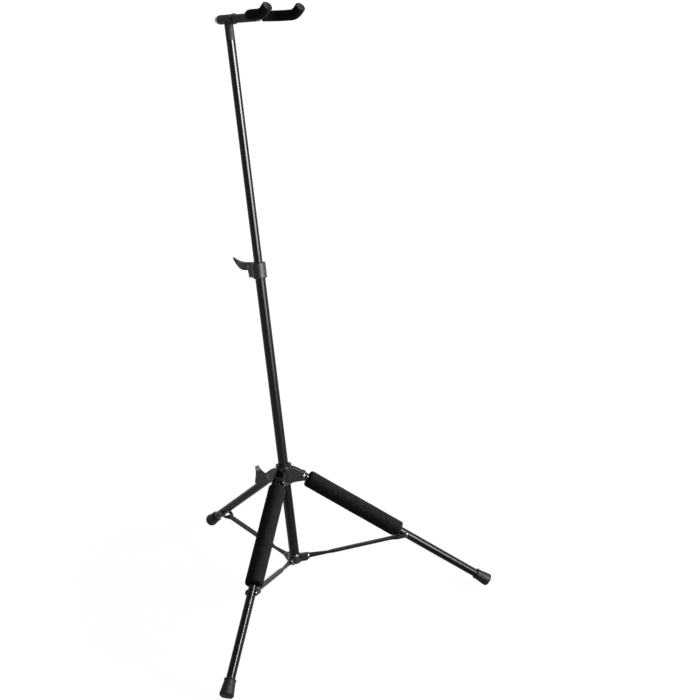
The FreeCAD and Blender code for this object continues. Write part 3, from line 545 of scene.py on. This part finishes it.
def pointing_up(vector):
    """The vector, turned round if it points down."""
    return -vector if vector.z < 0 else vector


def points_of(node):
    """Corner points of a frame piece as an array."""
    return np.array([vertex.co for vertex in nodes[node].data.vertices], float)


def long_line(node):
    """Middle of a long piece, and its direction on the way down."""
    points = points_of(node)
    middle = points.mean(axis=0)
    along = np.linalg.svd(points - middle, full_matrices=False)[2][0]
    return Vector(middle), -pointing_up(Vector(along))


for side in ("left", "right"):
    leg_down = long_line("leg_front_" + side)[1]
    print(side, "leg, degrees below level:", round(math.degrees(math.asin(-leg_down.z)), 1))

# %% [markdown]
# ## Turning foam
# A foam sleeve starts as on a lathe: rings of points about one line, each ring joined to
# the next by a band of four-sided faces. Soft foam has no sharp rim, so an end is rounded
# over by a few rings on a quarter circle. The yoke's foam will use the same tools.

# %% Tools for turning foam
SLEEVE_STEP = 4 * MM
SLEEVE_ROUND = 3.5 * MM
SLEEVE_ROUND_STEPS = 6


def angles_round(sides):
    """Even angles round a full turn."""
    return [2 * math.pi * side / sides for side in range(sides)]


def rounded_end(radius, rounding, steps):
    """Quarter circle that rounds an end over, as (step in, radius) from the end inwards."""
    rings = []
    for step in range(steps + 1):
        bend = math.pi / 2 * step / steps
        inset = rounding * (1 - math.cos(bend))
        rings.append((inset, radius - rounding * (1 - math.sin(bend))))
    return rings


def join_rings(shell, one, two):
    """Band of four-sided faces between two rings with the same count of points."""
    band = []
    for side in range(len(one)):
        after = (side + 1) % len(one)
        band.append(shell.faces.new((one[side], one[after], two[after], two[side])))
    return band


def turned_shell(profile, sides):
    """Closed solid of revolution about X from a loop of (along, radius) points."""
    shell = bmesh.new()
    angles = angles_round(sides)
    rings = []
    for along, radius in profile:
        ring = [shell.verts.new((along, radius * math.cos(a), radius * math.sin(a))) for a in angles]
        rings.append(ring)
    for one, two in zip(rings, rings[1:] + rings[:1]):
        join_rings(shell, one, two)
    bmesh.ops.recalc_face_normals(shell, faces=shell.faces)
    return shell


def sleeve_profile(start, stop, outer, inner):
    """Loop of a foam sleeve: bore, rounded end, outside and the far end."""
    loop = [(start, inner)]
    for inset, radius in rounded_end(outer, SLEEVE_ROUND, SLEEVE_ROUND_STEPS):
        loop.append((start + inset, radius))
    count = round((stop - start) / SLEEVE_STEP)
    for step in range(1, count):
        loop.append((start + SLEEVE_ROUND + (stop - start - SLEEVE_ROUND) * step / count, outer))
    loop.append((stop, outer))
    loop.append((stop, inner))
    return loop


print("steps round a sleeve's end:", SLEEVE_ROUND_STEPS)

# %% [markdown]
# ## A soft skin
# What was turned and cut still looks machined. A voxel remesh turns it into small even
# cells, and smoothing those rounds each cut as soft foam would. Slow noise then pushes the
# skin in by fractions of a millimetre, and never outwards, so the foam keeps its size.

# %% Tools for a soft skin
SLEEVE_CELL = 1.6 * MM
SMOOTH_FACTOR = 0.5
SMOOTH_ROUNDS = 6
DENT_DEPTH = 0.5 * MM
DENT_SIZE = 22 * MM


def settled(name, shell, matrix):
    """Piece made of a shell that is put in place, cut into even cells and smoothed."""
    raw = bpy.data.meshes.new(name)
    shell.to_mesh(raw)
    shell.free()
    raw.transform(matrix)
    piece = put_in_scene(name, raw)
    remesh = piece.modifiers.new("even_cells", "REMESH")
    remesh.mode = "VOXEL"
    remesh.voxel_size = SLEEVE_CELL
    smooth = piece.modifiers.new("soft_edges", "SMOOTH")
    smooth.factor = SMOOTH_FACTOR
    smooth.iterations = SMOOTH_ROUNDS
    bpy.context.view_layer.update()
    seen = piece.evaluated_get(bpy.context.evaluated_depsgraph_get())
    piece.data = bpy.data.meshes.new_from_object(seen)
    piece.modifiers.clear()
    piece.data.shade_smooth()
    return piece


def dent(piece, axis_point, axis):
    """Push the skin towards a line by slow noise, never outwards."""
    for vertex in piece.data.vertices:
        radial = vertex.co - axis_point
        radial -= axis * radial.dot(axis)
        push = 0.5 + 0.5 * noise.noise(vertex.co / DENT_SIZE)
        vertex.co -= radial.normalized() * DENT_DEPTH * max(0.0, push)


print("foam cells, mm:", round(SLEEVE_CELL / MM, 1))

# %% [markdown]
# ## Foam sleeves on the front legs
# Each front leg wears a long sleeve that the guitar's body leans on. The upper end is
# rounded over, and the lower end is cut on a slant to let the strut fold past. We turn the
# sleeve about the leg's own line, slice it along the strut, and give it the soft skin.

# %% Model the leg sleeves
SLEEVE_SIDES = 56
SLEEVE_SKIN = 0.2 * MM
STRUT_CLEARANCE = 6.2 * MM


def slant_cut(shell, side, hinge, place):
    """Slice off the part of a sleeve that would be in the way of the strut."""
    strut_middle, strut_along = long_line("strut_front_" + side)
    strut_up = pointing_up(hinge.cross(strut_along).normalized())
    inverse = place.inverted()
    cut = bmesh.ops.bisect_plane(
        shell,
        geom=shell.verts[:] + shell.edges[:] + shell.faces[:],
        plane_co=inverse @ (strut_middle + strut_up * STRUT_CLEARANCE),
        plane_no=inverse.to_3x3() @ strut_up,
        clear_inner=True,
    )
    edges = [item for item in cut["geom_cut"] if isinstance(item, bmesh.types.BMEdge)]
    bmesh.ops.holes_fill(shell, edges=edges)


def leg_sleeve(side):
    """Foam sleeve of one front leg."""
    node = "leg_foam_front_" + side
    middle, down = long_line("leg_front_" + side)
    offsets = points_of(node) - np.array(middle)
    reach = offsets @ np.array(down)
    radius = np.linalg.norm(offsets - np.outer(reach, np.array(down)), axis=1)
    hinge = Vector(joints[f"strut_front_{side}_fold"]["axis"])
    upper = pointing_up(hinge.cross(down))
    turned = Matrix((down, upper.cross(down), upper)).transposed().to_4x4()
    place = Matrix.Translation(middle) @ turned
    loop = sleeve_profile(reach.min(), reach.max(), radius.max() - SLEEVE_SKIN, radius.min())
    shell = turned_shell(loop, SLEEVE_SIDES)
    slant_cut(shell, side, hinge, place)
    piece = settled("leg_sleeve_" + side, shell, place)
    dent(piece, middle, down)
    piece.data.materials.append(foam_skin)
    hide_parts(node)
    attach(piece, "leg_front_" + side)
    return piece


for side in ("left", "right"):
    sleeve = leg_sleeve(side)
    print(sleeve.name, "faces:", len(sleeve.data.polygons))

# %% [markdown]
# ## The line of the yoke
# Two thick foam tubes cover the bent rod of the yoke, so the guitar's neck never meets
# metal. Each follows the rod: round the half circle, straight ahead, then up at the tip.
# A walk along that line by formula gives a point and a heading at any distance, with no
# list of points to keep. Only the right prong is worked out: the left one is its mirror.

# %% Walk along a prong of the yoke
FORK_BASE = 96.0 * MM
FORK_HALF_WIDTH = 36.3 * MM
FORK_RISE = 1.6 * MM
FORK_STRAIGHT = 14.2 * MM
FORK_TURN_RADIUS = 34.0 * MM
FORK_TURN = math.radians(40.0)
FORK_TIP = 8.0 * MM
YOKE_ROLL = math.radians(2.0)
FOAM_CLEAR = 9.0 * MM
FOAM_START = math.asin(FOAM_CLEAR / FORK_HALF_WIDTH)
BEND_LENGTH = FORK_HALF_WIDTH * (math.pi / 2 - FOAM_START)
PRONG_LENGTH = BEND_LENGTH + FORK_STRAIGHT + FORK_TURN_RADIUS * FORK_TURN + FORK_TIP


def head_matrix():
    """Place of the yoke: X forward along the swivel, Y to the right, Z up."""
    swivel = joints["yoke_swivel"]
    forward = Vector(swivel["axis"])
    right = Vector((1, 0, 0))
    upward = forward.cross(right)
    turned = Matrix((forward, right, upward)).transposed().to_4x4()
    rolled = turned @ Matrix.Rotation(-YOKE_ROLL, 4, "X")
    return Matrix.Translation(Vector(swivel["pos_m"])) @ rolled


def prong_point(walked):
    """Point on the right prong's line and its heading, after walking that far."""
    centre = FORK_BASE + FORK_HALF_WIDTH
    if walked < BEND_LENGTH:
        angle = FOAM_START + walked / FORK_HALF_WIDTH
        ahead = centre - FORK_HALF_WIDTH * math.cos(angle)
        aside = FORK_HALF_WIDTH * math.sin(angle)
        return Vector((ahead, aside, FORK_RISE)), Vector((math.sin(angle), math.cos(angle), 0))
    walked -= BEND_LENGTH
    if walked < FORK_STRAIGHT:
        return Vector((centre + walked, FORK_HALF_WIDTH, FORK_RISE)), Vector((1, 0, 0))
    walked -= FORK_STRAIGHT
    angle = min(walked / FORK_TURN_RADIUS, FORK_TURN)
    beyond = walked - angle * FORK_TURN_RADIUS
    heading = Vector((math.cos(angle), 0, math.sin(angle)))
    lift = Vector((math.sin(angle), 0, 1 - math.cos(angle))) * FORK_TURN_RADIUS
    turn_start = Vector((centre + FORK_STRAIGHT, FORK_HALF_WIDTH, FORK_RISE))
    return turn_start + lift + heading * beyond, heading


print("foam on each prong, mm:", round(PRONG_LENGTH / MM, 1))

# %% [markdown]
# ## Foam on the yoke
# At each step of the walk we lay a ring of points square to the line. Both ends are rounded
# over and slightly dished. At the tip, which the photograph shows cut square, the rings of
# the dish take the greyer finish of open cells.

# %% Model the yoke's foam
FOAM_RADIUS = 9.7 * MM
FOAM_STEP = 2.0 * MM
FOAM_SIDES = 40
FOAM_ROUND = 1.6 * MM
FOAM_ROUND_STEPS = 5
FOAM_DISH = 0.7 * MM
DISH_RINGS = ((1.0, 0.25), (0.5, 0.6))


def foam_rings():
    """How far along each ring lies and its radius, from the start of the foam to its tip."""
    start = [(depth * FOAM_DISH, share * FOAM_RADIUS) for depth, share in DISH_RINGS]
    start += rounded_end(FOAM_RADIUS, FOAM_ROUND, FOAM_ROUND_STEPS)
    span = PRONG_LENGTH - 2 * FOAM_ROUND
    count = round(span / FOAM_STEP)
    middle = [(FOAM_ROUND + span * step / count, FOAM_RADIUS) for step in range(1, count)]
    tip = [(PRONG_LENGTH - inset, radius) for inset, radius in reversed(start)]
    return start + middle + tip


def yoke_sleeve(side):
    """Foam tube of one prong."""
    mirror = -1 if side == "left" else 1
    place = head_matrix()
    tube = bmesh.new()
    rings = []
    for walked, radius in foam_rings():
        point, heading = prong_point(walked)
        outward = Vector((-heading.y, heading.x, 0)).normalized()
        upward = heading.cross(outward)
        ring = []
        for angle in angles_round(FOAM_SIDES):
            spot = point + (outward * math.cos(angle) + upward * math.sin(angle)) * radius
            spot.y *= mirror
            ring.append(tube.verts.new(place @ spot))
        rings.append(ring)
    cut_from = len(rings) - len(DISH_RINGS) - 1
    for step, (one, two) in enumerate(zip(rings, rings[1:])):
        for face in join_rings(tube, one, two):
            face.material_index = int(step >= cut_from)
    tube.faces.new(rings[0])
    tube.faces.new(rings[-1]).material_index = 1
    bmesh.ops.recalc_face_normals(tube, faces=tube.faces)
    mesh = bpy.data.meshes.new("yoke_sleeve_" + side)
    tube.to_mesh(mesh)
    tube.free()
    mesh.materials.append(foam_skin)
    mesh.materials.append(foam_cut)
    mesh.shade_smooth()
    piece = put_in_scene("yoke_sleeve_" + side, mesh)
    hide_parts("yoke_foam_" + side)
    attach(piece, "yoke")
    return piece


for side in ("left", "right"):
    sleeve = yoke_sleeve(side)
    print(sleeve.name, "faces:", len(sleeve.data.polygons))
